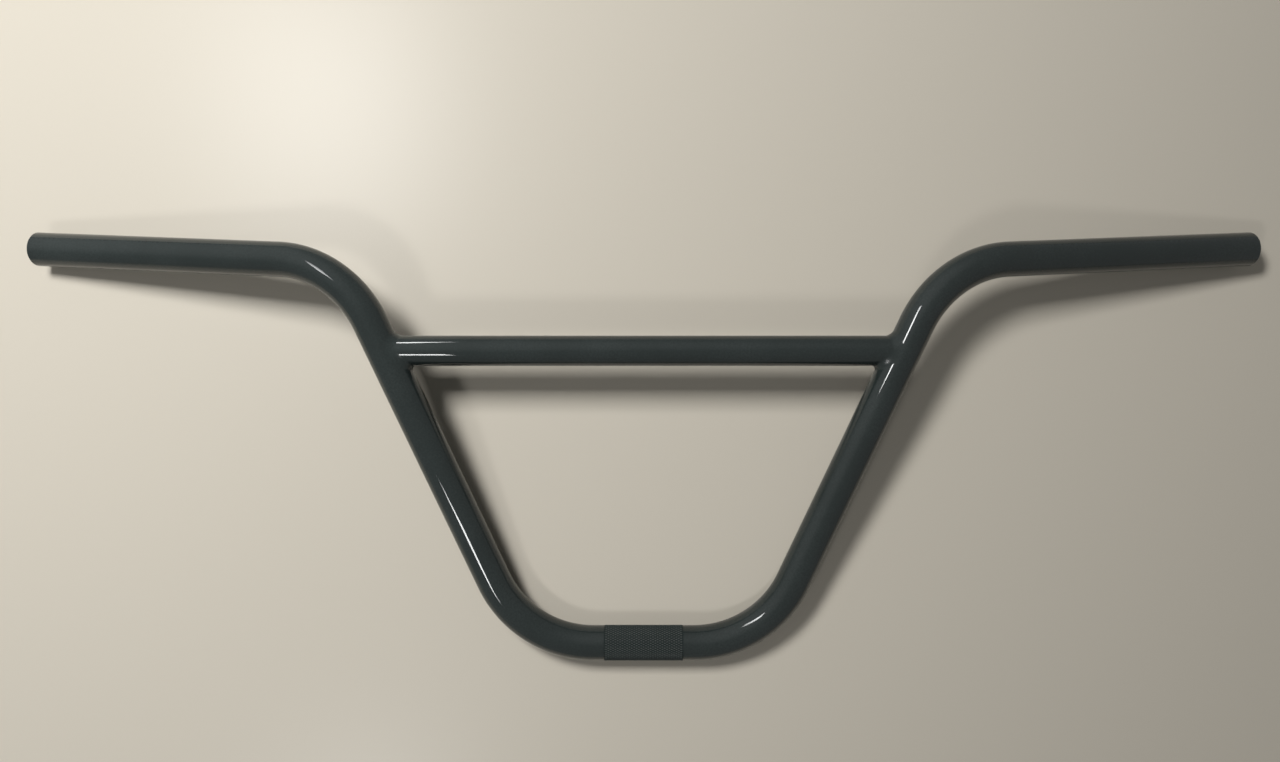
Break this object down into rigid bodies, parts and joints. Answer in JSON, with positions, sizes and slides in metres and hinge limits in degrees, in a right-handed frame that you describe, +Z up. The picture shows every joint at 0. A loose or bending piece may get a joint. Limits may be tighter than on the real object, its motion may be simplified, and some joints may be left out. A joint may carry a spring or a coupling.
{
  "type": "bmx handlebar",
  "caption": "High-rise BMX handlebar of bent round steel tube with a welded crossbar, swept open-ended grip sections and a knurled stem clamp band, in gloss black paint.",
  "frame": {"origin": "on the tube's axis at the middle of the knurled stem clamp band", "axes": "+X along the clamp section towards the right grip, +Y over the floor from the clamp towards the crossbar, +Z up from the floor that the bar lies on"},
  "size_m": [0.8042, 0.2796, 0.0576],
  "materials": {
    "gloss_black_paint": "gloss"
  },
  "bodies": {
    "root": {"main_tube": "gloss_black_paint", "crossbar": "gloss_black_paint", "weld_beads": "gloss_black_paint"}
  },
  "joints": []
}
